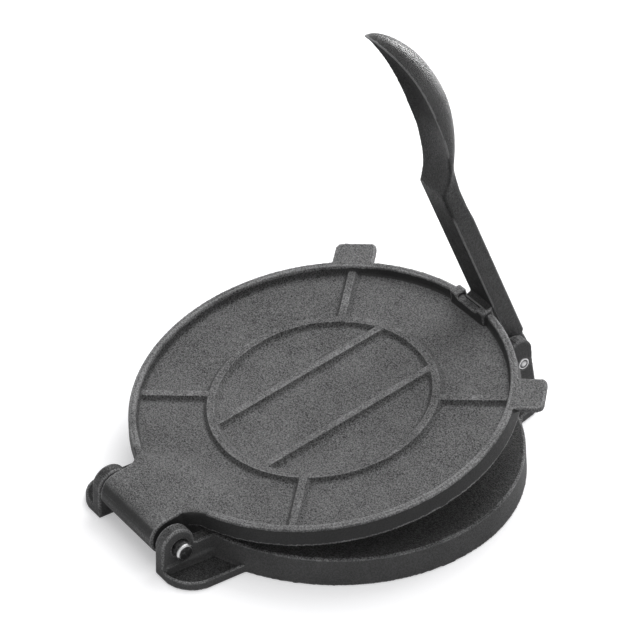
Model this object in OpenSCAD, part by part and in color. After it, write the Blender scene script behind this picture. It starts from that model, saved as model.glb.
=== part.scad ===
// Cast-iron tortilla press: a hinged pair of round plates with a lever that squeezes them shut.
// The hinge is at -Y, the lever at +Y, and the base stands on Z = 0 with its disc centred on the origin.

/* [Plates] */
// Radius of the base disc at the floor
base_r = 102.7; // [80:0.1:130]
// Height of the base disc
base_h = 15.5; // [14:0.1:17]
// Radius that each disc's side loses over its height to casting draft
side_draft = 1.4; // [0.6:0.1:2]
// Thickness of the base's press plate
base_plate_t = 5; // [4:0.1:7]
// Thickness of the base's skirt
skirt_t = 5; // [4:0.1:7]
// How far the lid's press face reaches past the base disc
lid_overhang = 0.2; // [0:0.1:1]
// Height of the lid, from its press face to the top of its rim
lid_h = 10.1; // [9:0.1:12]
// Thickness of the lid's press plate
lid_plate_t = 4.1; // [3.5:0.1:5.5]
// Width of the lid's rim
rim_w = 3.8; // [3:0.1:5]
// Gap between the closed plates
closed_gap = 0.2; // [0.1:0.05:0.5]
// How far the lid's disc is set towards the hinge
lid_set = 1.8; // [1:0.1:2.5]
// How far the lid has slid along its pin
lid_slide = 2; // [0:0.1:2.5]
// How far the lid stands open
lid_open = 10.85; // [8:0.05:11]

/* [Ribs] */
// Outer radius of the ring on both castings
ring_r = 60.8; // [50:0.1:70]
// Width of the rings and ribs
rib_w = 3.7; // [3:0.1:5]
// How far the lid's ring and ribs stay below its rim
rib_drop = 3.4; // [2.5:0.1:4.5]
// Distance of the lid's two bars from its middle
bar_x = 21.7; // [15:0.1:28]

/* [Tabs and lug] */
// How far the lifting tabs stick out of the lid's rim
tab_out = 15; // [8:0.5:20]
// Width of a lifting tab
tab_w = 22.5; // [18:0.5:28]
// Thickness of a lifting tab
tab_t = 3.3; // [2.5:0.1:4.5]
// Thickness of the lug's thinner post, beside the lever
lug_post_t = 2; // [1.5:0.1:4]
// Depth of the lug, front face to back
lug_deep = 7.4; // [7:0.1:9]
// Height of the lug's posts above the lid's rim
lug_rise = 2.2; // [1:0.1:4]

/* [Hinge] */
// Distance of the hinge pin from the base disc's edge
hinge_reach = 13.55; // [12:0.05:18]
// Height of the hinge pin above the base's press face
hinge_lift = 0.2; // [0:0.1:3]
// Radius of the lid's hinge barrel
barrel_r = 10.3; // [9:0.1:11]
// Half the length of the lid's hinge barrel
barrel_half_l = 23.8; // [20:0.1:24]
// Radius of the hinge pin
hinge_pin_r = 4.75; // [4:0.05:5.5]
// Free play of the barrel to each hinge ear
barrel_play = 2.35; // [2.35:0.05:5]
// Thickness of a hinge ear
hinge_ear_t = 6.7; // [5:0.1:9]
// Radius of a hinge ear's round top
hinge_ear_r = 9.6; // [8.5:0.05:10]
// Height of a hinge ear's top above its pin
hinge_ear_rise = 11; // [9.5:0.1:12]
// Half the width of the foot flange at the hinge
foot_half_w = 51.2; // [46:0.1:60]
// Height of the foot flange's lip
foot_lip_h = 5; // [4:0.1:7]
// Floor of the pocket in the foot flange
foot_floor = 2.2; // [2:0.1:3.5]
// How far the hinge pin stands out of each ear
pin_out = 5.2; // [0:0.1:6]

/* [Lever] */
// Distance of the lever's pin from the base disc's edge
pivot_reach = 9.8; // [9:0.05:14]
// Height of the lever's pin above the base's press face
pivot_lift = 13; // [12:0.1:16]
// Radius of the lever's pin
lever_pin_r = 3.5; // [3:0.05:4.5]
// How far the lever leans towards the hinge
lever_lean = 24.4; // [22:0.1:26]
// Half the width of the lever's arm
arm_half_w = 10; // [8:0.1:12]
// Length of the lever from its pin to the handle's heel
arm_l = 132.5; // [110:0.5:160]
// Thickness of the lever's arm
arm_t = 10.8; // [10:0.1:12.5]
// Radius of the lever's boss
boss_r = 10.8; // [9:0.1:11]
// Free play of the arm to each clevis ear
arm_play = 0.6; // [0.3:0.1:2]
// Thickness of a clevis ear
clevis_ear_t = 7; // [5:0.1:9]
// Radius of a clevis ear's round top
clevis_top_r = 8; // [6:0.1:9]
// Height of the clevis ears above their pin
clevis_rise = 15.7; // [12:0.1:18]
// Height of the foot flange at the clevis
clevis_foot_h = 5; // [4:0.1:6]

/* [Fits] */
// Radial clearance of a casting that turns on a pin
running_gap = 0.08; // [0.03:0.01:0.1]
// Clearance beside and between castings that pass each other
side_gap = 0.35; // [0.3:0.05:0.6]

/* [Hidden] */
$fn = 96;
cut = 1;
iron_dark = "#3a3a3c";
iron = "#4a4a4c";
steel = "#b8bcc0";

// closed lid
lid_r = base_r + lid_overhang;
lid_z = base_h + closed_gap;
floor_z = lid_z + lid_plate_t;
rim_z = lid_z + lid_h;
rib_z = rim_z - rib_drop;
rim_r = lid_r - side_draft;
recess_r = rim_r - rim_w;
base_top_r = base_r - side_draft;
skirt_r = base_top_r - skirt_t;
rib_angles = [45, 135, 225, 315];
tab_corner_r = 4;
rim_back = rim_r - lid_set;
lug_front = rim_back - lug_deep;
ramp_half_w = 29;

// hinge
hinge_y = base_r + hinge_reach;
hinge_z = base_h + hinge_lift;
hinge_ear_in = barrel_half_l + barrel_play;
ear_out = hinge_ear_in + hinge_ear_t;
ear_mid_z = hinge_z + hinge_ear_rise - hinge_ear_r;
ear_mid_y = hinge_y + 1.1;
ear_back = ear_mid_y + hinge_ear_r;
pin_chamfer = 0.7;
foot_corner_r = 16.5;
foot_lip = 1.5;
foot_inner_y = sqrt(pow(base_r, 2) - pow(foot_half_w, 2)) - 4.5;
ledge_w = 1;
ledge_z = 7;
// room that the lid's root fillets leave for the ears, over them and with the lid laid flat behind them
root_back = 2 * hinge_y - ear_back - 0.5;
root_swing_r = hinge_ear_r + norm([ear_mid_y - hinge_y, ear_mid_z - hinge_z]) + 0.5;
root_fillet_r = 12;
root_fillet_x = barrel_half_l + root_fillet_r;
root_fillet_y = lid_set + sqrt(pow(lid_r - side_draft / 2 + root_fillet_r, 2) - pow(root_fillet_x, 2));

// clevis
pivot_y = base_r + pivot_reach;
pivot_z = base_h + pivot_lift;
clevis_in = arm_half_w + arm_play;
clevis_out = clevis_in + clevis_ear_t;
clevis_front = lid_r - lid_set + side_gap;
clevis_top_y = clevis_front + clevis_top_r;
clevis_top_z = pivot_z + clevis_rise - clevis_top_r;
clevis_back = pivot_y + 11.5;
clevis_foot_root = clevis_out + 27.4;
pin_proud = 0.4;

// the foot flange at the clevis, from the disc outwards, as [x, y]
clevis_foot_plan = [
    [clevis_foot_root, sqrt(pow(base_r, 2) - pow(clevis_foot_root, 2)) - 3],
    [clevis_out + 15.4, base_r - 1.7],
    [clevis_out + 12.1, pivot_y - 8.9],
    [clevis_out + 9.2, pivot_y + 1.7],
    [clevis_out + 4.4, clevis_back]
];

// Lever, in its own frame: pin at the origin, arm along +Z, lid at -Y
arm_front = 0.3;
arm_back = arm_front + arm_t;
lug_z = rim_z + lug_rise;
saddle_half_w = arm_half_w + side_gap;
lug_half_w = saddle_half_w + lid_slide + lug_post_t;
// distance from the hinge pin to the front of the leaning arm, where it is least
arm_swing_r = cos(lever_lean) * (pivot_y + hinge_y) + sin(lever_lean) * (pivot_z - hinge_z) + arm_front;
toe_swing_r = arm_swing_r - side_gap;
saddle_swing_r = toe_swing_r - side_gap;
toe_low = height_on_arm(lid_z) - 2.4;
toe_high = height_on_arm(lug_z) - 2.2;
// Handle, from heel to tip: front edge [y, z], back [y, z] past the heel, half width as a share of the
// arm's, and hollow of the front face
handle = [
    [[arm_front, 0], [arm_back, -1], 1.01, 0],
    [[3.8, 3.7], [arm_back + 1, 3.7], 1.1, 0.6],
    [[7.2, 9.1], [arm_back + 3.2, 10], 1.17, 1.2],
    [[10.3, 20.5], [20.6, 21], 1.21, 2],
    [[12.2, 34], [25.6, 34.5], 1.23, 2.8],
    [[12.6, 49.5], [27.9, 50.5], 1.23, 3.2],
    [[12.4, 64.5], [26.7, 67], 1.2, 3.2],
    [[11, 79], [23.4, 82.5], 1.12, 2.8],
    [[8.6, 92], [18, 95.8], 0.97, 2.2],
    [[5.9, 102.2], [12.4, 105], 0.76, 1.4],
    [[3.7, 108.8], [7.3, 110.5], 0.48, 0.6],
    [[2, 112.4], [2.7, 112.9], 0.12, 0]
];
steps_between = 4;
edge_points = 10;
handle_edge_t = 0.9;

// Where a closed-lid height on the lug's back meets the leaning lever, measured along its arm
function height_on_arm(z) =
    let (
        turn = asin((z - hinge_z) / saddle_swing_r) + lid_open,
        y = -hinge_y + saddle_swing_r * cos(turn),
        up = hinge_z + saddle_swing_r * sin(turn)
    )
    (pivot_y - y) * sin(lever_lean) + (up - pivot_z) * cos(lever_lean);

// A point on the smooth curve through a list's values, at place t counted in list steps
function spline(v, t) =
    let (
        n = len(v) - 1,
        i = min(floor(t), n - 1),
        f = t - i,
        a = v[max(i - 1, 0)],
        b = v[i],
        c = v[i + 1],
        d = v[min(i + 2, n)]
    )
    b + f * (c - a) / 2 + f * f * (a - 2.5 * b + 2 * c - d / 2) + f * f * f * ((d - a) / 2 + 1.5 * (b - c));

// One ring of handle points: the hollow front from edge to edge, then round the domed back
function handle_ring(t) =
    let (
        front = spline([for (s = handle) s[0]], t),
        back = spline([for (s = handle) s[1]], t),
        half_w = arm_half_w * spline([for (s = handle) s[2]], t),
        hollow = spline([for (s = handle) s[3]], t),
        across = (back - front) / norm(back - front),
        deep = norm(back - front)
    )
    concat(
        [for (k = [0 : edge_points])
            let (a = -cos(180 * k / edge_points), p = front + across * hollow * (1 - a * a))
            [half_w * a, p[0], arm_l + p[1]]],
        [for (k = [0 : edge_points])
            let (
                a = 180 * k / edge_points,
                edge = min(handle_edge_t, deep / 3),
                p = front + across * (edge + (deep - edge) * sin(a))
            )
            [half_w * cos(a), p[0], arm_l + p[1]]]
    );

// A prism along X from x0 to x1, with its outline given as [y, z]
module prism_x(x0, x1) {
    translate([x0, 0, 0])
        rotate([90, 0, 90])
            linear_extrude(x1 - x0)
                children();
}

// A cylinder along X from x0 to x1
module rod_x(y, z, r, x0, x1) {
    translate([x0, y, z])
        rotate([0, 90, 0])
            cylinder(h = x1 - x0, r = r);
}

// A pin along X with chamfered ends
module pin_x(y, z, r, x0, x1) {
    translate([x0, y, z])
        rotate([0, 90, 0])
            rotate_extrude()
                polygon([
                    [0, 0],
                    [r - pin_chamfer, 0],
                    [r, pin_chamfer],
                    [r, x1 - x0 - pin_chamfer],
                    [r - pin_chamfer, x1 - x0],
                    [0, x1 - x0]
                ]);
}

// A rectangle whose two far corners are rounded
module round_end(x_half, y0, y1, r) {
    difference() {
        translate([-x_half, y0])
            square([2 * x_half, y1 - y0]);
        for (side = [-1, 1])
            translate([side * (x_half - r), y1 - r])
                difference() {
                    translate([side > 0 ? 0 : -r - cut, 0])
                        square([r + cut, r + cut]);
                    circle(r);
                }
    }
}

// Puts closed-lid children in the lid's rest pose
module as_opened() {
    translate([-lid_slide, -hinge_y, hinge_z])
        rotate([lid_open, 0, 0])
            translate([0, hinge_y, -hinge_z])
                children();
}

// Puts children made in the lever's own frame in its rest pose
module as_leaning() {
    translate([0, pivot_y, pivot_z])
        rotate([lever_lean, 0, 0])
            children();
}

module base_disc() {
    difference() {
        cylinder(h = base_h, r1 = base_r, r2 = base_top_r);
        translate([0, 0, -cut])
            cylinder(h = base_h - base_plate_t + cut, r = skirt_r);
    }
    difference() {
        cylinder(h = base_h - 1, r = ring_r);
        translate([0, 0, -cut])
            cylinder(h = base_h + cut, r = ring_r - rib_w);
    }
    for (a = rib_angles)
        rotate([0, 0, a])
            translate([ring_r - 1, -rib_w / 2, 0])
                cube([skirt_r - ring_r + 2, rib_w, base_h - 1]);
}

// Plan of the foot flange at the hinge, drawn in by the given amount
module foot_plan(inset) {
    mirror([0, 1])
        round_end(foot_half_w - inset, foot_inner_y, ear_back - inset, foot_corner_r - inset);
}

module hinge_foot() {
    difference() {
        linear_extrude(foot_lip_h)
            foot_plan(0);
        translate([0, 0, foot_floor])
            linear_extrude(foot_lip_h)
                foot_plan(foot_lip);
        translate([0, 0, -cut])
            cylinder(h = foot_lip_h + 2 * cut, r = base_top_r - 2);
        translate([-hinge_ear_in, -ear_back - cut, -cut])
            cube([2 * hinge_ear_in, ear_back - base_top_r + 2 + cut, foot_lip_h + 2 * cut]);
    }
}

// Outline of a hinge ear and the web that joins it to the disc, as [y, z]
module hinge_ear_outline() {
    translate([-ear_mid_y, ear_mid_z])
        circle(hinge_ear_r);
    translate([-ear_back, 0])
        square([2 * hinge_ear_r, ear_mid_z]);
    translate([-hinge_y, 0])
        square([hinge_y - skirt_r + 8, base_h]);
}

module hinge_ear() {
    difference() {
        union() {
            prism_x(hinge_ear_in, ear_out)
                hinge_ear_outline();
            prism_x(ear_out - cut, ear_out + ledge_w)
                translate([-ear_back + 2, 0])
                    square([ear_back - skirt_r + 8, ledge_z]);
        }
        cylinder(h = base_h * 3, r = skirt_r, center = true);
    }
}

// Outline of a clevis ear, as [y, z]
module clevis_outline() {
    translate([clevis_top_y, clevis_top_z])
        circle(clevis_top_r);
    polygon([
        [skirt_r + 2, 0],
        [skirt_r + 2, base_h - 3],
        [clevis_front, base_h - 3],
        [clevis_front, clevis_top_z],
        [clevis_top_y + clevis_top_r * cos(11), clevis_top_z + clevis_top_r * sin(11)],
        [pivot_y + 5.8, pivot_z + 0.6],
        [pivot_y + 8.2, pivot_z - 10.9],
        [clevis_back, 3],
        [clevis_back, 0]
    ]);
}

module clevis_foot() {
    difference() {
        linear_extrude(clevis_foot_h)
            polygon([for (side = [-1, 1], k = [0 : len(clevis_foot_plan) - 1])
                let (p = clevis_foot_plan[side < 0 ? k : len(clevis_foot_plan) - 1 - k])
                [side * p[0], p[1]]]);
        translate([0, 0, -cut])
            cylinder(h = clevis_foot_h + 2 * cut, r = skirt_r + 1);
    }
}

module base() {
    color(iron_dark)
        difference() {
            union() {
                base_disc();
                hinge_foot();
                clevis_foot();
                for (side = [0, 1])
                    mirror([side, 0, 0]) {
                        hinge_ear();
                        prism_x(clevis_in, clevis_out)
                            clevis_outline();
                    }
            }
            rod_x(-hinge_y, hinge_z, hinge_pin_r, -ear_out - cut, ear_out + cut);
            rod_x(pivot_y, pivot_z, lever_pin_r, -clevis_out - cut, clevis_out + cut);
        }
}

module lid_disc() {
    difference() {
        translate([0, 0, lid_z])
            cylinder(h = lid_h, r1 = lid_r, r2 = rim_r);
        translate([0, 0, floor_z])
            cylinder(h = lid_h, r1 = recess_r - 0.8, r2 = recess_r + 0.4);
    }
}

module lid_ribs() {
    low = floor_z - 1;
    translate([0, 0, low]) {
        difference() {
            cylinder(h = rib_z - low, r = ring_r);
            translate([0, 0, -cut])
                cylinder(h = lid_h + 2 * cut, r = ring_r - rib_w);
        }
        for (a = rib_angles)
            rotate([0, 0, a])
                translate([ring_r - 1, -rib_w / 2, 0])
                    cube([recess_r - ring_r + 2, rib_w, rib_z - low]);
        intersection() {
            cylinder(h = rib_z - low, r = ring_r - 1);
            for (side = [-1, 1])
                translate([side * bar_x - rib_w / 2, -ring_r, 0])
                    cube([rib_w, 2 * ring_r, rib_z - low]);
        }
    }
}

module lid_tabs() {
    for (a = [-45, 45])
        rotate([0, 0, a])
            translate([0, 0, rim_z - tab_t])
                linear_extrude(tab_t)
                    round_end(tab_w / 2, recess_r + 1, rim_r + tab_out, tab_corner_r);
}

// Tongue and barrel, and the slope that runs from the plate's floor up to them
module lid_tongue() {
    root_y = lid_set + recess_r;
    translate([-barrel_half_l, -hinge_y, lid_z])
        cube([2 * barrel_half_l, hinge_y - root_y + 4, lid_h]);
    rod_x(-hinge_y, hinge_z, barrel_r, -barrel_half_l, barrel_half_l);
    hull() {
        translate([0, 0, floor_z - 0.5])
            linear_extrude(0.5)
                trapezium(
                    ramp_half_w,
                    -lid_set - sqrt(pow(recess_r, 2) - pow(ramp_half_w, 2)) - 0.2,
                    ramp_half_w / 2,
                    25.5 - root_y
                );
        translate([0, 0, rim_z - 0.1])
            linear_extrude(0.1)
                trapezium(barrel_half_l + 1.2, 0.5 - root_y, barrel_half_l - 3.8, 2 - root_y);
    }
}

// The fillet between the rim and one side of the tongue, cut clear of the hinge ears
module lid_root_fillet() {
    difference() {
        translate([barrel_half_l - 1, -root_back, lid_z])
            cube([
                root_fillet_x * (1 - root_fillet_r / (lid_r + root_fillet_r)) - barrel_half_l + 1,
                root_back - recess_r + 1.2,
                lid_h
            ]);
        translate([root_fillet_x, -root_fillet_y, lid_z - cut])
            cylinder(h = lid_h + 2 * cut, r = root_fillet_r);
        rod_x(-hinge_y, hinge_z, root_swing_r, barrel_half_l, root_fillet_x);
    }
}

// A trapezium that is as wide as x0 at y0 and as x1 at y1, to each side
module trapezium(x0, y0, x1, y1) {
    polygon([[-x0, y0], [-x1, y1], [x1, y1], [x0, y0]]);
}

// The lug: a wall in front, and a post on each side of the lever
module lid_lug() {
    low = floor_z - 1;
    deep = lug_deep - 0.5;
    near_post_w = lug_half_w - lid_slide - 0.6 * arm_half_w;
    translate([-lug_half_w, lug_front, low])
        cube([2 * lug_half_w, deep, rim_z - low]);
    translate([-lug_half_w, lug_front, low])
        cube([lug_half_w + lid_slide - saddle_half_w, deep, lug_z - low]);
    translate([lug_half_w - near_post_w, lug_front, low])
        cube([near_post_w, deep, lug_z - low]);
}

module lid_closed() {
    difference() {
        union() {
            translate([0, -lid_set, 0]) {
                lid_disc();
                lid_ribs();
                lid_tabs();
            }
            lid_tongue();
            for (side = [0, 1])
                mirror([side, 0, 0])
                    lid_root_fillet();
            lid_lug();
        }
        rod_x(-hinge_y, hinge_z, hinge_pin_r + running_gap, -barrel_half_l - cut, barrel_half_l + cut);
        // saddle that lets the lid swing past the lever's toe
        difference() {
            translate([lid_slide - saddle_half_w, lug_front + 1, lid_z - cut])
                cube([2 * saddle_half_w, lug_deep + tab_out, lid_h + lug_rise + 3 * cut]);
            rod_x(-hinge_y, hinge_z, saddle_swing_r, -lug_half_w - cut, lug_half_w + cut);
        }
    }
}

module lid() {
    color(iron)
        as_opened()
            lid_closed();
}

// The toe in front of the arm, which leans on the lug and presses it
module lever_toe() {
    difference() {
        prism_x(-arm_half_w + 0.5, arm_half_w - 0.5)
            polygon([
                [arm_front + 1, toe_low - 6],
                [arm_front - 0.5, toe_low - 6],
                [arm_front - 6, toe_low],
                [arm_front - 6, toe_high],
                [arm_front + 1, toe_high]
            ]);
        rotate([-lever_lean, 0, 0])
            translate([0, -pivot_y, -pivot_z])
                rod_x(-hinge_y, hinge_z, toe_swing_r, -arm_half_w - cut, arm_half_w + cut);
    }
}

module lever_handle() {
    rings = (len(handle) - 1) * steps_between;
    per = 2 * (edge_points + 1);
    points = [for (i = [0 : rings]) each handle_ring(i / steps_between)];
    sides = [for (i = [0 : rings - 1], k = [0 : per - 1])
        let (a = i * per + k, b = i * per + (k + 1) % per)
        each [[a, b + per, b], [a, a + per, b + per]]];
    ends = [for (first = [0, rings * per], k = [0 : edge_points - 1])
        let (
            a = first + k,
            b = first + per - 1 - k,
            turn = first > 0
        )
        each [turn ? [b - 1, a + 1, a] : [a, a + 1, b - 1], turn ? [b, b - 1, a] : [a, b - 1, b]]];
    polyhedron(points, concat(sides, ends));
}

module lever() {
    color(iron_dark)
        as_leaning()
            difference() {
                union() {
                    rod_x(0, 0, boss_r, -arm_half_w, arm_half_w);
                    prism_x(-arm_half_w, arm_half_w)
                        polygon([
                            [arm_front, 0],
                            [arm_front, arm_l],
                            [arm_front + 3, arm_l + 2],
                            [arm_back + 2, arm_l + 13.5],
                            [arm_back, arm_l - 4.5],
                            [arm_back, boss_r + 2.2],
                            [arm_back - 1.2, boss_r + 1.2],
                            [boss_r - 0.2, 0]
                        ]);
                    lever_toe();
                    lever_handle();
                }
                rod_x(0, 0, lever_pin_r + running_gap, -arm_half_w - cut, arm_half_w + cut);
            }
}

module hinge_pin() {
    color(steel)
        pin_x(-hinge_y, hinge_z, hinge_pin_r, -ear_out - pin_out, ear_out + pin_out);
}

module lever_pin() {
    color(steel)
        pin_x(pivot_y, pivot_z, lever_pin_r, -clevis_out - pin_proud, clevis_out + pin_proud);
}

base();
lid();
lever();
hinge_pin();
lever_pin();
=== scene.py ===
import math

import bmesh
import bpy
import numpy as np
from mathutils import Matrix, Vector


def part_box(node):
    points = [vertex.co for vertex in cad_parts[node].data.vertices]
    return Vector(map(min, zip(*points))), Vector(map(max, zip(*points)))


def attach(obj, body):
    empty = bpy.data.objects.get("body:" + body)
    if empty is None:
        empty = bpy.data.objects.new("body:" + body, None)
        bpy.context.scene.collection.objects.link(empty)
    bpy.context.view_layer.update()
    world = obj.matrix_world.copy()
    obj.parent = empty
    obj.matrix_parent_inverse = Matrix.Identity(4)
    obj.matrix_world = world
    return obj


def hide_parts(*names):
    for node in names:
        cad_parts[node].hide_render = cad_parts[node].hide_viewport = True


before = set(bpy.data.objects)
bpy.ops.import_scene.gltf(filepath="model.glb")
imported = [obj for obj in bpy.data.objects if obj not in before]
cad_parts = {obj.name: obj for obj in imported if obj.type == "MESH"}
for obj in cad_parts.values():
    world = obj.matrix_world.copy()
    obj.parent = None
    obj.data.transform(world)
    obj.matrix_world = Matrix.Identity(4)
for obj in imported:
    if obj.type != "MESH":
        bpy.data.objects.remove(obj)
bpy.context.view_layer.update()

# All in metres. The pins' axes are given by y and z, and the lid's sizes as it lies closed.
HINGE = (-0.11625, 0.0157)
LEVER_PIVOT = (0.1125, 0.0285)
HINGE_PIN_R, LEVER_PIN_R = 0.00475, 0.0035
LID_OPEN, LID_SLIDE = math.radians(10.85), 0.002
LID_CENTRE_Y = -0.0018
LID_FLOOR_Z, LID_RIB_Z = 0.0198, 0.0224
LID_RECESS_R = 0.0977
RING_R, RIB_W, BAR_X = 0.0608, 0.0037, 0.0217
BASE_TOP_Z = 0.0155
# Steps of smoothing that show where a skin bends, spread that, even the skin out, and show how
# far each point stands out, and the bend, in voxels, from which an edge counts as sharp
BEND_STEPS, SPREAD_STEPS, EVEN_STEPS, CONVEX_STEPS = 24, 6, 220, 16
SHARP_BEND = 0.45
WELD = 2e-6


def placed(name, data):
    """A new object in the scene that holds the data."""
    obj = bpy.data.objects.new(name, data)
    bpy.context.scene.collection.objects.link(obj)
    return obj


def applied(obj, kind, **settings):
    """The object's mesh after one modifier, which doesn't stay on the object."""
    modifier = obj.modifiers.new(kind.lower(), kind)
    for key, value in settings.items():
        setattr(modifier, key, value)
    graph = bpy.context.evaluated_depsgraph_get()
    mesh = bpy.data.meshes.new_from_object(obj.evaluated_get(graph))
    obj.modifiers.clear()
    return mesh


def read(items, name, kind, width):
    """A value of every vertex or edge, one row each."""
    values = np.empty(len(items) * width, kind)
    items.foreach_get(name, values)
    return values.reshape(-1, width)


def smoothed(values, edges, times, weight=None):
    """Values of the vertices, such as their places, after steps that each go halfway to the mean of
    their neighbours. weight gives each vertex its share of the step."""
    n = len(values)
    a, b = edges[:, 0], edges[:, 1]
    count = np.bincount(a, minlength=n) + np.bincount(b, minlength=n)
    count = np.maximum(count, 1)[:, None]
    step = 0.5 if weight is None else 0.5 * weight[:, None]
    for _ in range(times):
        mean = np.empty_like(values)
        for k in range(values.shape[1]):
            mean[:, k] = np.bincount(a, values[b, k], n) + np.bincount(b, values[a, k], n)
        values = values + (mean / count - values) * step
    return values


def evened(co, edges, voxel, weight):
    """Vertex places with the facets smoothed out, and sharp edges left as they are."""
    bend = np.linalg.norm(co - smoothed(co, edges, BEND_STEPS), axis=1) / voxel
    blunt = smoothed((bend < SHARP_BEND).astype(float)[:, None], edges, SPREAD_STEPS)[:, 0]
    return smoothed(co, edges, EVEN_STEPS, weight * np.clip(3 * blunt - 2, 0, 1))


def nowhere(co, *_):
    return np.zeros(len(co))


def casting(node, voxel, rounding, triangles, shape=None, soft=None, soft_times=0, even=None,
            zone=nowhere, crests=0, underside_shade=nowhere):
    """A copy of a CAD casting with rounded edges and filled corners, as a sand mould leaves them.

    shape moves its vertices first. soft and even give each vertex's share of more smoothing, even
    only away from sharp edges. cast_iron reads three attributes of the mesh: convex, how far a
    point stands out of its surroundings, in voxels, zone, 1 on the part with a skin of its own,
    and underside_shade, 1 on overhangs, where it paints shade. In the zone, crests is the share by
    which edges count as sharper.
    triangles is how many it is thinned to."""
    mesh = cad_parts[node].data.copy()
    work = bmesh.new()
    work.from_mesh(mesh)
    bmesh.ops.remove_doubles(work, verts=work.verts, dist=WELD)
    work.to_mesh(mesh)
    work.free()
    obj = placed(node + "_cast", mesh)
    dense = applied(obj, "REMESH", mode="VOXEL", voxel_size=voxel)
    edges = read(dense.edges, "vertices", np.int32, 2)
    co = read(dense.vertices, "co", np.float32, 3).astype(float)
    if shape is not None:
        co = shape(co)
    co = smoothed(co, edges, rounding)
    if soft is not None:
        co = smoothed(co, edges, soft_times, soft(co))
    if even is not None:
        co = evened(co, edges, voxel, even(co))
    low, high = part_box(node)
    co = np.clip(co, np.array(low), np.array(high))
    dense.vertices.foreach_set("co", co.astype(np.float32).ravel())
    dense.update()

    normal = read(dense.vertices, "normal", np.float32, 3)
    convex = ((co - smoothed(co, edges, CONVEX_STEPS)) * normal).sum(1) / voxel
    if soft is not None:
        convex *= 1 - soft(co)
    skin = zone(co)
    convex = np.where(convex > 0, convex * (1 + crests * skin), convex)
    for name, value in (("convex", convex), ("zone", skin), ("underside_shade", underside_shade(co, normal))):
        attribute = dense.attributes.new(name, "FLOAT", "POINT")
        attribute.data.foreach_set("value", value.astype(np.float32))
    obj.data = dense
    obj.data = applied(obj, "DECIMATE", ratio=triangles / (2 * len(dense.polygons)))
    return obj


def swung(co, angle, slide):
    """The lid's vertex places after a turn on its hinge pin and a slide along it."""
    y, z = co[:, 1] - HINGE[0], co[:, 2] - HINGE[1]
    c, s = math.cos(angle), math.sin(angle)
    return np.stack([co[:, 0] + slide, HINGE[0] + y * c - z * s, HINGE[1] + y * s + z * c], 1)


def to_closed(co):
    return swung(co, -LID_OPEN, LID_SLIDE)


def from_closed(co):
    return swung(co, LID_OPEN, -LID_SLIDE)


def sloped_ribs(co):
    """Gives the lid's ring, ribs and bars the sloping walls that let a pattern leave the sand, and
    the foot of its rim a cove."""
    slope_w, cove = 0.0019, 0.0015
    cove_r = LID_RECESS_R - 0.0008
    play = 0.0004
    p = to_closed(co)
    x, y, z = p[:, 0], p[:, 1] - LID_CENTRE_Y, p[:, 2]
    r = np.hypot(x, y)
    away = np.maximum(r - RING_R, RING_R - RIB_W - r)
    diagonal = np.minimum(np.abs(x + y), np.abs(x - y)) / math.sqrt(2) - RIB_W / 2
    away = np.where(r > RING_R, np.minimum(away, diagonal), away)
    bar = np.abs(np.abs(x) - BAR_X) - RIB_W / 2
    away = np.where(r < RING_R, np.minimum(away, bar), away)
    height = LID_FLOOR_Z + (LID_RIB_Z - LID_FLOOR_Z) * (1 - np.clip(away / slope_w, 0, 1))
    near = np.clip(1 - (cove_r - r) / cove, 0, 1)
    height = np.maximum(height, LID_FLOOR_Z + cove * (1 - np.sqrt(1 - near**2)))
    lifted = (z > LID_FLOOR_Z - play) & (z < LID_RIB_Z) & (r < LID_RECESS_R)
    p[:, 2] = np.where(lifted, np.maximum(z, height), z)
    return from_closed(p)


def rise(value, start, width):
    """0 up to start, then a straight rise to 1 over the width. A negative width turns it round."""
    return np.clip((value - start) / width, 0, 1)


# From here to lever_underside_shade, each gives 1 for the vertices on a part of a casting, falling to 0
# beside it


def in_recess(co):
    """Inside the lid's rim, where walls are pebbled like the floor and paler than the outer walls.
    Toward the lug end they keep the outer walls' darker grey, a painted shade of the lever that
    leans over the lug.
    """
    p = to_closed(co)
    r = np.hypot(p[:, 0], p[:, 1] - LID_CENTRE_Y)
    inside = rise(r, LID_RECESS_R + 0.0018, -0.0008) * rise(p[:, 2] - LID_FLOOR_Z, -0.001, 0.0008)
    return inside * rise(p[:, 1], 0.08, -0.03)


def lid_ramp(co):
    """The slope between the lid's floor and its tongue."""
    p = to_closed(co)
    x, y, z = np.abs(p[:, 0]), p[:, 1], p[:, 2]
    along = rise(y, -0.106, 0.006) * rise(y, -0.070, -0.005)
    return along * rise(x, 0.034, -0.005) * (z > 0.0185).astype(float)


def on_plate(co):
    """The base's pressing face, which is darker than the rest."""
    r = np.hypot(co[:, 0], co[:, 1])
    return rise(r, 0.0995, -0.001) * rise(co[:, 2], BASE_TOP_Z - 0.002, 0.001)


def on_handle(co):
    """The handle above its heel."""
    return rise(co[:, 2], 0.165, 0.04)


def handle_end(co):
    """The end of the handle, which hands have polished."""
    return rise(co[:, 2], 0.2, 0.03)


def handle_heel(co):
    """Where the handle's bowl runs out into the arm."""
    x, z = co[:, 0], co[:, 2]
    return rise(x, -0.007, 0.005) * rise(z, 0.130, 0.008) * rise(z, 0.176, -0.01)


def lever_underside_shade(co, normal):
    """The lever's overhanging faces, where shade is painted on the iron, less where the handle's
    heel runs into the arm.
    """
    heel = 1 - 0.8 * np.exp(-((co[:, 2] - 0.158) / 0.026) ** 2)
    return rise(-normal[:, 2], 0.2, 0.26) * heel


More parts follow.
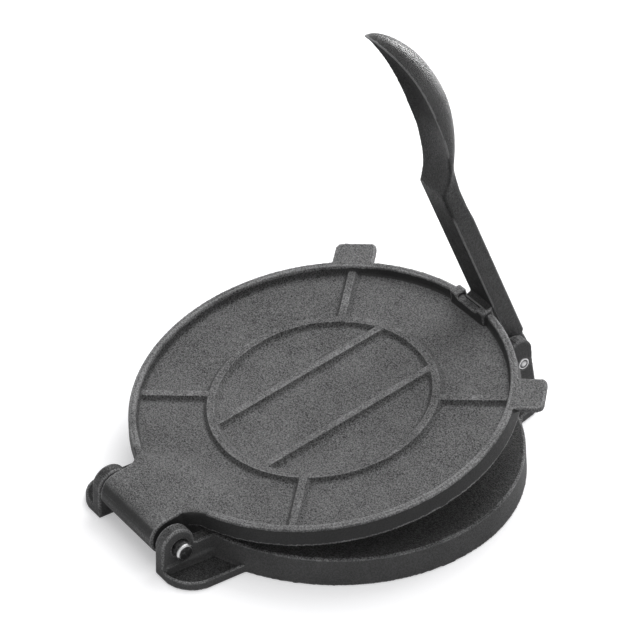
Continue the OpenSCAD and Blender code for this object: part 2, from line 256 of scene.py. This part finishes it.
def lathe(name, profile, start, length, axis, steps=72):
    """A turned pin along X, round an axis given by y and z. profile lists (distance in from the
    end, radius, and a tone from dull to bright that is partly the steel's own finish and partly
    painted highlight and shade), and both ends are alike."""
    points = [(start + d, r, polish_and_painted_light) for d, r, polish_and_painted_light in profile]
    points += [(start + length - d, r, polish_and_painted_light) for d, r, polish_and_painted_light in reversed(profile)]
    work = bmesh.new()
    layer = work.verts.layers.float.new("polish_and_painted_light")
    rings = []
    for x, r, polish_and_painted_light in points:
        ring = [
            work.verts.new((x, axis[0] + r * math.cos(t), axis[1] + r * math.sin(t)))
            for t in (2 * math.pi * k / steps for k in range(steps if r else 1))
        ]
        for vert in ring:
            vert[layer] = polish_and_painted_light
        rings.append(ring)
    for a, b in zip(rings, rings[1:]):
        for k in range(steps):
            m = (k + 1) % steps
            if len(a) == 1:
                work.faces.new((a[0], b[m], b[k]))
            elif len(b) == 1:
                work.faces.new((a[k], a[m], b[0]))
            else:
                work.faces.new((a[k], a[m], b[m], b[k]))
    bmesh.ops.recalc_face_normals(work, faces=work.faces)
    mesh = bpy.data.meshes.new(name)
    work.to_mesh(mesh)
    work.free()
    return placed(name, mesh)


class Tree:
    """Short calls for building the nodes of a material or a world."""

    def __init__(self, owner):
        owner.use_nodes = True
        self.tree = owner.node_tree
        self.tree.nodes.clear()

    def add(self, kind, **settings):
        node = self.tree.nodes.new(kind)
        for key, value in settings.items():
            setattr(node, key, value)
        return node

    def put(self, socket, value):
        if isinstance(value, bpy.types.NodeSocket):
            self.tree.links.new(value, socket)
        else:
            socket.default_value = value

    def math(self, operation, a, b=0.0, clamp=False):
        node = self.add("ShaderNodeMath", operation=operation, use_clamp=clamp)
        self.put(node.inputs[0], a)
        self.put(node.inputs[1], b)
        return node.outputs[0]

    def plus(self, a, b, clamp=False):
        return self.math("ADD", a, b, clamp)

    def times(self, a, b):
        return self.math("MULTIPLY", a, b)

    def ramp(self, value, x0, x1, y0=0.0, y1=1.0):
        """y0 to y1, smoothly, as the value goes from x0 to x1."""
        node = self.add("ShaderNodeMapRange", interpolation_type="SMOOTHSTEP")
        for socket, v in zip(node.inputs[:5], (value, x0, x1, y0, y1)):
            self.put(socket, v)
        return node.outputs[0]

    def noise(self, where, scale, detail=2.0, rough=0.5):
        node = self.add("ShaderNodeTexNoise")
        self.put(node.inputs["Vector"], where)
        self.put(node.inputs["Scale"], scale)
        self.put(node.inputs["Detail"], detail)
        self.put(node.inputs["Roughness"], rough)
        return node.outputs[0]

    def spread(self, noise, half):
        """The noise's usual values, spread to lie between -half and half."""
        return self.ramp(noise, 0.3, 0.7, -half, half)

    def attribute(self, name):
        return self.add("ShaderNodeAttribute", attribute_name=name).outputs["Fac"]

    def mix(self, share, a, b):
        """A colour between two greys or colours. The greys are a touch blue."""
        node = self.add("ShaderNodeMix", data_type="RGBA")
        self.put(node.inputs["Factor"], share)
        for socket, value in ((node.inputs[6], a), (node.inputs[7], b)):
            if not isinstance(value, bpy.types.NodeSocket):
                value = (value, value, value * 1.01, 1)
            self.put(socket, value)
        return node.outputs[2]

    def bump(self, height, strength, distance):
        node = self.add("ShaderNodeBump")
        self.put(node.inputs["Height"], height)
        self.put(node.inputs["Strength"], strength)
        self.put(node.inputs["Distance"], distance)
        return node.outputs[0]

    def principled(self, **values):
        """A Principled shader. Its sockets' names have an underscore for each space."""
        node = self.add("ShaderNodeBsdfPrincipled")
        for name, value in values.items():
            self.put(node.inputs[name.replace("_", " ")], value)
        return node.outputs[0]

    def finish(self, kind, surface):
        self.put(self.add(kind).inputs["Surface"], surface)


# Scales of the iron's noises, from grains of sand to stains
PEBBLE, FINE, PATCH, BROAD = 1250, 3000, 45, 9
GRAIN_DEPTH = 0.0008
# The grey that edges turn toward, and the most of it: partly wear and partly a painted highlight
WEAR_AND_GLINT_GREY, WEAR_AND_GLINT_MOST = 0.32, 0.8
# How dark hollow corners turn: partly soot caked in them and partly painted shade
SOOT_AND_SHADE_GREY = 0.6


def cast_iron(name, side, top, rough, grain, side_grain, specular, wear_and_glint, wear_and_glint_least,
              zone_side=None, zone_top=None, zone_rough=None, underside_shade=1.0, under_rough=None):
    """Seasoned sand-cast iron.

    side and top are the greys of its walls and its upward faces, which differ partly as the
    iron's own tone and partly as painted light and shade. zone_side, zone_top and zone_rough stand
    in where the zone attribute is 1. Where the underside_shade attribute is 1, the iron is
    underside_shade times as light, a painted shade on overhangs, and as rough as under_rough.
    grain is the depth of the pebbles on upward faces, and side_grain the share of it on walls.
    Edges turn paler as the convex attribute rises through the two values of wear_and_glint, partly
    as wear and partly as a painted highlight, and wear_and_glint_least is the share of that
    between the pebbles. Hollow corners turn darker as convex falls, partly as soot caked there and
    partly as painted shade."""
    material = bpy.data.materials.new(name)
    m = Tree(material)
    place = m.add("ShaderNodeTexCoord")
    where = place.outputs["Object"]
    split = m.add("ShaderNodeSeparateXYZ")
    m.put(split.inputs[0], place.outputs["Normal"])
    upward = m.ramp(split.outputs["Z"], 0.45, 0.9)
    zone, overhang, convex = (m.attribute(a) for a in ("zone", "underside_shade", "convex"))
    pebble = m.noise(where, PEBBLE, 2.5, 0.65)
    fine = m.noise(where, FINE, 2.0, 0.6)
    patch = m.noise(where, PATCH, 3.0, 0.6)
    broad = m.noise(where, BROAD)

    sandy = m.ramp(m.math("MAXIMUM", upward, zone), 0, 1, side_grain, 1.0)
    mottle = m.times(m.plus(m.spread(pebble, 0.7), m.spread(fine, 0.5)), sandy)
    mottle = m.plus(mottle, m.spread(patch, 0.12))
    mottle = m.plus(mottle, m.ramp(broad, 0.3, 0.7, 0.92, 1.08))
    # Overhangs are painted darker, as shade
    darker = m.ramp(overhang, 0, 1, 1.0, underside_shade)
    wall = m.times(m.ramp(zone, 0, 1, side, zone_side or side), darker)
    # Walls and upward faces take their own greys, partly the iron's own tone and partly painted
    # light and shade
    grey = m.ramp(upward, 0, 1, wall, m.ramp(zone, 0, 1, top, zone_top or top))
    # Hollow corners are painted darker, partly as caked soot and partly as shade
    grey = m.times(m.times(grey, mottle), m.ramp(convex, -0.2, -0.8, 1.0, SOOT_AND_SHADE_GREY))

    # Edges are painted paler, partly as wear and partly as a highlight, mostly on the pebbles'
    # crests and in patches
    crests = m.ramp(m.ramp(pebble, 0.42, 0.6), 0, 1, wear_and_glint_least, 1.0)
    paler = m.times(m.ramp(convex, *wear_and_glint, 0, WEAR_AND_GLINT_MOST), crests)
    paler = m.times(paler, m.ramp(patch, 0.35, 0.6, max(0.3, wear_and_glint_least), 1.0))
    colour = m.mix(paler, m.mix(grey, 0.0, 1.0), WEAR_AND_GLINT_GREY)

    skin = m.ramp(zone, 0, 1, rough, zone_rough or rough)
    skin = m.ramp(overhang, 0, 1, skin, under_rough or rough)
    m.finish("ShaderNodeOutputMaterial", m.principled(
        Base_Color=colour,
        Metallic=0.0,
        Specular_IOR_Level=specular,
        Roughness=m.plus(skin, m.spread(pebble, -0.07)),
        Normal=m.bump(m.plus(pebble, m.times(fine, 0.4)), m.times(sandy, grain), GRAIN_DEPTH),
    ))
    return material


def turned_steel(name, dull, bright, rough):
    """Turned steel with fine rings round its axis. The attribute that lathe gives its rings takes
    it from dull to bright, partly as the steel's own finish and partly as painted highlight and
    shade."""
    material = bpy.data.materials.new(name)
    m = Tree(material)
    where = m.add("ShaderNodeTexCoord").outputs["Object"]
    stretch = m.add("ShaderNodeMapping")
    m.put(stretch.inputs["Scale"], (9, 0.6, 0.6))
    m.put(stretch.inputs["Vector"], where)
    rings = m.noise(stretch.outputs[0], 700, 2.0, 0.6)
    smudge = m.noise(where, 420, 3.0, 0.6)
    tone = m.plus(m.attribute("polish_and_painted_light"), m.spread(smudge, 0.1))
    tone = m.plus(tone, m.spread(rings, 0.05), clamp=True)
    m.finish("ShaderNodeOutputMaterial", m.principled(
        Base_Color=m.mix(tone, dull, bright),
        Metallic=1.0,
        Roughness=m.ramp(tone, 0, 1, rough + 0.25, rough),
        Normal=m.bump(rings, 0.15, 0.0001),
    ))
    return material


def finish_piece(obj, body, node, material):
    for face in obj.data.polygons:
        face.use_smooth = True
    obj.data.materials.clear()
    obj.data.materials.append(material)
    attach(obj, body)
    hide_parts(node)


base_iron = cast_iron(
    "base_iron_look", side=0.08, top=0.036, rough=0.66, grain=0.9, side_grain=0.3, specular=0.19,
    wear_and_glint=(0.19, 0.42), wear_and_glint_least=0.25, zone_side=0.006, zone_top=0.006, zone_rough=0.95,
)
lid_iron = cast_iron(
    "lid_iron_look", side=0.024, top=0.13, rough=0.62, grain=1.0, side_grain=0.2, specular=0.25,
    wear_and_glint=(0.16, 0.3), wear_and_glint_least=0.35, zone_side=0.072,
)
lever_iron = cast_iron(
    "lever_iron_look", side=0.028, top=0.028, rough=0.42, grain=0.9, side_grain=0.9, specular=0.29,
    wear_and_glint=(0.07, 0.3), wear_and_glint_least=0.8, zone_rough=0.2, underside_shade=0.5, under_rough=0.85,
)
steel = turned_steel("pin_steel_look", dull=0.03, bright=0.6, rough=0.22)

base = casting("base", voxel=0.0006, rounding=3, triangles=90000, zone=on_plate)
finish_piece(base, "base_body", "base", base_iron)
lid = casting(
    "lid", voxel=0.0006, rounding=3, triangles=110000, shape=sloped_ribs, soft=lid_ramp,
    soft_times=120, zone=in_recess, crests=1.8,
)
finish_piece(lid, "lid_body", "lid", lid_iron)
lever = casting(
    "lever", voxel=0.0003, rounding=8, triangles=90000, soft=handle_heel, soft_times=140,
    even=on_handle, zone=handle_end, underside_shade=lever_underside_shade,
)
finish_piece(lever, "lever_body", "lever", lever_iron)

# The hinge pin's ends are black and flat, with a bright chamfer round them; that brightness is
# partly the steel's own and partly a painted highlight
CHAMFER = 0.0007
END_R = HINGE_PIN_R - CHAMFER
low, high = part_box("hinge_pin")
hinge_pin = lathe(
    "hinge_pin_turned",
    [(0, 0, 0), (0.00005, END_R - 0.0006, 0), (0.0001, END_R - 0.0002, 0.3), (0.0002, END_R, 0.8),
     (CHAMFER - 0.0001, HINGE_PIN_R - 0.00012, 0.8), (CHAMFER + 0.0002, HINGE_PIN_R, 0.5),
     (CHAMFER + 0.0009, HINGE_PIN_R, 0.1)],
    low.x, high.x - low.x, HINGE,
)
finish_piece(hinge_pin, "base_body", "hinge_pin", steel)

# The lever pin's ends are domed, inside a groove and a bright ring. The dome is painted bright in
# its middle and dark toward its edge, partly the steel's own and partly painted highlight and
# shade, and the groove is painted dark as shade
low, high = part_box("lever_pin")
lever_pin = lathe(
    "lever_pin_turned",
    [(0, 0, 0.8), (0.00008, 0.0009, 0.7), (0.00032, 0.0017, 0.4), (0.0006, 0.0021, 0),
     (0.0006, 0.0024, 0), (0.0002, 0.0027, 0.8), (0.00025, 0.003, 0.9), (0.0006, LEVER_PIN_R, 0.5),
     (0.0015, LEVER_PIN_R, 0.1)],
    low.x, high.x - low.x, LEVER_PIVOT,
)
finish_piece(lever_pin, "base_body", "lever_pin", steel)


def seen_ray(m):
    """1 for what the camera, a reflection or glass sees of the background."""
    path = m.add("ShaderNodeLightPath")
    seen = m.plus(path.outputs["Is Camera Ray"], path.outputs["Is Glossy Ray"])
    return m.plus(seen, path.outputs["Is Transmission Ray"], clamp=True)


# The floor lies a hair below the press, and looks whiter than the light it gives back
FLOOR_HALF, FLOOR_Z = 6.0, -0.0002
mesh = bpy.data.meshes.new("floor")
corners = [(x * FLOOR_HALF, y * FLOOR_HALF, 0) for x, y in ((-1, -1), (1, -1), (1, 1), (-1, 1))]
mesh.from_pydata(corners, [], [(0, 1, 2, 3)])
floor = placed("floor", mesh)
floor.location.z = FLOOR_Z
floor_look = bpy.data.materials.new("floor_look")
m = Tree(floor_look)
seen = seen_ray(m)
matt, glow = m.add("ShaderNodeBsdfDiffuse"), m.add("ShaderNodeEmission")
m.put(matt.inputs["Color"], m.mix(seen, 0.35, 0.8))
m.put(glow.inputs["Color"], m.mix(seen, 0.0, 0.36))
m.put(glow.inputs["Strength"], 1.0)
both = m.add("ShaderNodeAddShader")
m.put(both.inputs[0], matt.outputs[0])
m.put(both.inputs[1], glow.outputs[0])
m.finish("ShaderNodeOutputMaterial", both.outputs[0])
mesh.materials.append(floor_look)

world = bpy.data.worlds.new("studio")
bpy.context.scene.world = world
m = Tree(world)
background = m.add("ShaderNodeBackground")
m.put(background.inputs["Color"], (1, 1, 1, 1))
m.put(background.inputs["Strength"], m.ramp(seen_ray(m), 0, 1, 0.34, 1.0))
m.finish("ShaderNodeOutputWorld", background.outputs[0])

# Each light's place, the point it faces, its width and height, and its watts
SOFTBOXES = {
    "key_light": ((-0.4, 0.9, 1.5), (0, 0, 0.02), (1.2, 1.0), 16),
    "top_light": ((0.2, -0.1, 1.7), (0, 0, 0.02), (1.4, 1.4), 12),
    "right_light": ((1.6, 0.5, 0.6), (0, 0, 0.08), (0.7, 0.9), 0.8),
    "back_light": ((-0.23, 0.57, 0.17), (0, 0.05, 0.235), (0.2, 0.16), 1.4),
    "front_light": ((1.5, -1.6, 0.5), (0, 0, 0.02), (0.9, 0.6), 1.3),
}
for name, (place, aim, size, power) in SOFTBOXES.items():
    light = bpy.data.lights.new(name, "AREA")
    light.shape = "RECTANGLE"
    light.size, light.size_y = size
    light.energy = power
    box = placed(name, light)
    box.location = place
    box.rotation_euler = (Vector(aim) - Vector(place)).to_track_quat("-Z", "Y").to_euler()

# The camera's heading, height above the level and roll, and where it stands from the origin
HEADING, HEIGHT, ROLL = (math.radians(a) for a in (53.937, 35.071, 1.496))
DISTANCE, ASIDE, ABOVE = 1.8, -0.005904, 0.073956
FOCAL_PIXELS, FRAME_PIXELS, SENSOR_MM = 3430.8, 640, 36
ahead = Vector((
    -math.cos(HEIGHT) * math.sin(HEADING),
    math.cos(HEIGHT) * math.cos(HEADING),
    -math.sin(HEIGHT),
))
level = Vector((math.cos(HEADING), math.sin(HEADING), 0))
upright = level.cross(ahead)
right = level * math.cos(ROLL) + upright * math.sin(ROLL)
up = upright * math.cos(ROLL) - level * math.sin(ROLL)
camera = bpy.data.cameras.new("camera")
camera.sensor_width = SENSOR_MM
camera.lens = SENSOR_MM * FOCAL_PIXELS / FRAME_PIXELS
camera.clip_start, camera.clip_end = 0.05, 50
eye = placed("camera", camera)
stand = -ahead * DISTANCE + right * ASIDE + up * ABOVE
eye.matrix_world = Matrix((
    (right.x, up.x, -ahead.x, stand.x),
    (right.y, up.y, -ahead.y, stand.y),
    (right.z, up.z, -ahead.z, stand.z),
    (0, 0, 0, 1),
))
bpy.context.scene.camera = eye
bpy.context.scene.view_settings.view_transform = "Standard"
